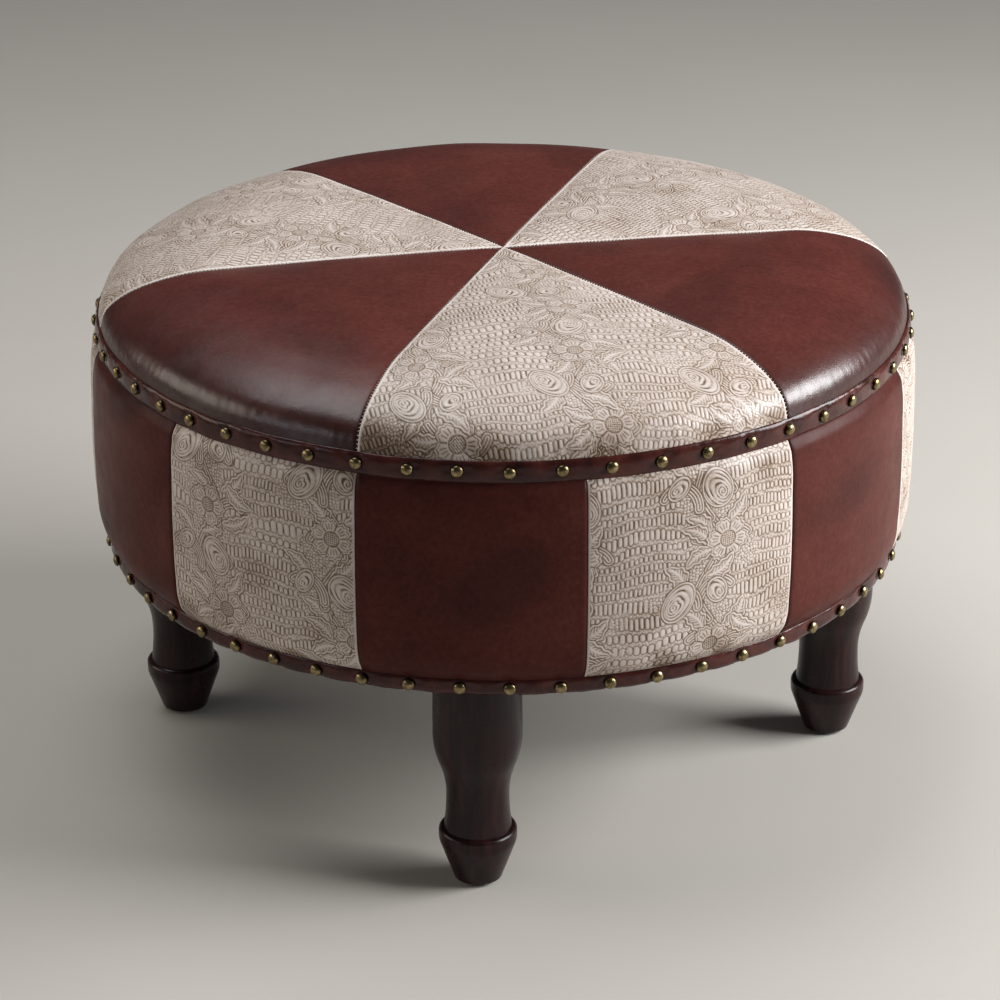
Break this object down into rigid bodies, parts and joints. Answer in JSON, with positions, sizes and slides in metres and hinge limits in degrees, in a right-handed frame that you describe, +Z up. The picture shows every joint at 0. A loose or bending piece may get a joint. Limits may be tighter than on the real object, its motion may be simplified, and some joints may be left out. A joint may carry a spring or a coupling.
{
  "type": "round upholstered footstool",
  "caption": "Round drum footstool: padded top of alternating plain brown and embossed cream leather wedges, panelled sides, nailed trim, turned wooden legs.",
  "frame": {"origin": "on the floor, at the middle of the drum, where its axis meets the level that the legs stand on", "axes": "+Z up along the drum's axis; the front leg is towards -Y, the right leg towards +X"},
  "size_m": [0.7176, 0.7176, 0.4586],
  "materials": {
    "brown_leather": "semi-gloss mottled reddish brown leather",
    "cream_leather": "satin cream leather, embossed and rubbed with brown",
    "trim_leather": "glossy dark brown leather strip",
    "dark_wood": "satin dark mahogany stain",
    "plywood": "raw plywood",
    "softwood": "raw softwood",
    "hardboard": "raw hardboard",
    "card": "raw card",
    "foam": "open-cell foam",
    "wadding": "polyester wadding",
    "antique_brass": "antiqued brass",
    "cambric": "black woven cambric",
    "zinc_steel": "zinc plated steel",
    "glide_plastic": "brown moulded plastic"
  },
  "bodies": {
    "root": {"base_board": "plywood", "dust_cover": "cambric", "dust_cover_staples": "zinc_steel", "frame_screws": "zinc_steel", "glide_back": "glide_plastic", "glide_front": "glide_plastic", "glide_left": "glide_plastic", "glide_right": "glide_plastic", "hanger_bolts": "zinc_steel", "leg_back": "dark_wood", "leg_block_back": "plywood", "leg_block_front": "plywood", "leg_block_left": "plywood", "leg_block_right": "plywood", "leg_front": "dark_wood", "leg_left": "dark_wood", "leg_right": "dark_wood", "lower_nails": "antique_brass", "lower_trim": "trim_leather", "post_1": "softwood", "post_2": "softwood", "post_3": "softwood", "post_4": "softwood", "post_5": "softwood", "post_6": "softwood", "post_7": "softwood", "post_8": "softwood", "seat_board": "plywood", "seat_foam": "foam", "seat_wadding": "wadding", "seat_wedge_brown_1": "brown_leather", "seat_wedge_brown_2": "brown_leather", "seat_wedge_brown_3": "brown_leather", "seat_wedge_cream_1": "cream_leather", "seat_wedge_cream_2": "cream_leather", "seat_wedge_cream_3": "cream_leather", "side_liner": "hardboard", "side_padding": "foam", "side_panel_brown_1": "brown_leather", "side_panel_brown_2": "brown_leather", "side_panel_brown_3": "brown_leather", "side_panel_brown_4": "brown_leather", "side_panel_brown_5": "brown_leather", "side_panel_brown_6": "brown_leather", "side_panel_cream_1": "cream_leather", "side_panel_cream_2": "cream_leather", "side_panel_cream_3": "cream_leather", "side_panel_cream_4": "cream_leather", "side_panel_cream_5": "cream_leather", "side_panel_cream_6": "cream_leather", "tack_strip": "card", "tee_nuts": "zinc_steel", "upper_nails": "antique_brass", "upper_trim": "trim_leather"}
  },
  "joints": []
}
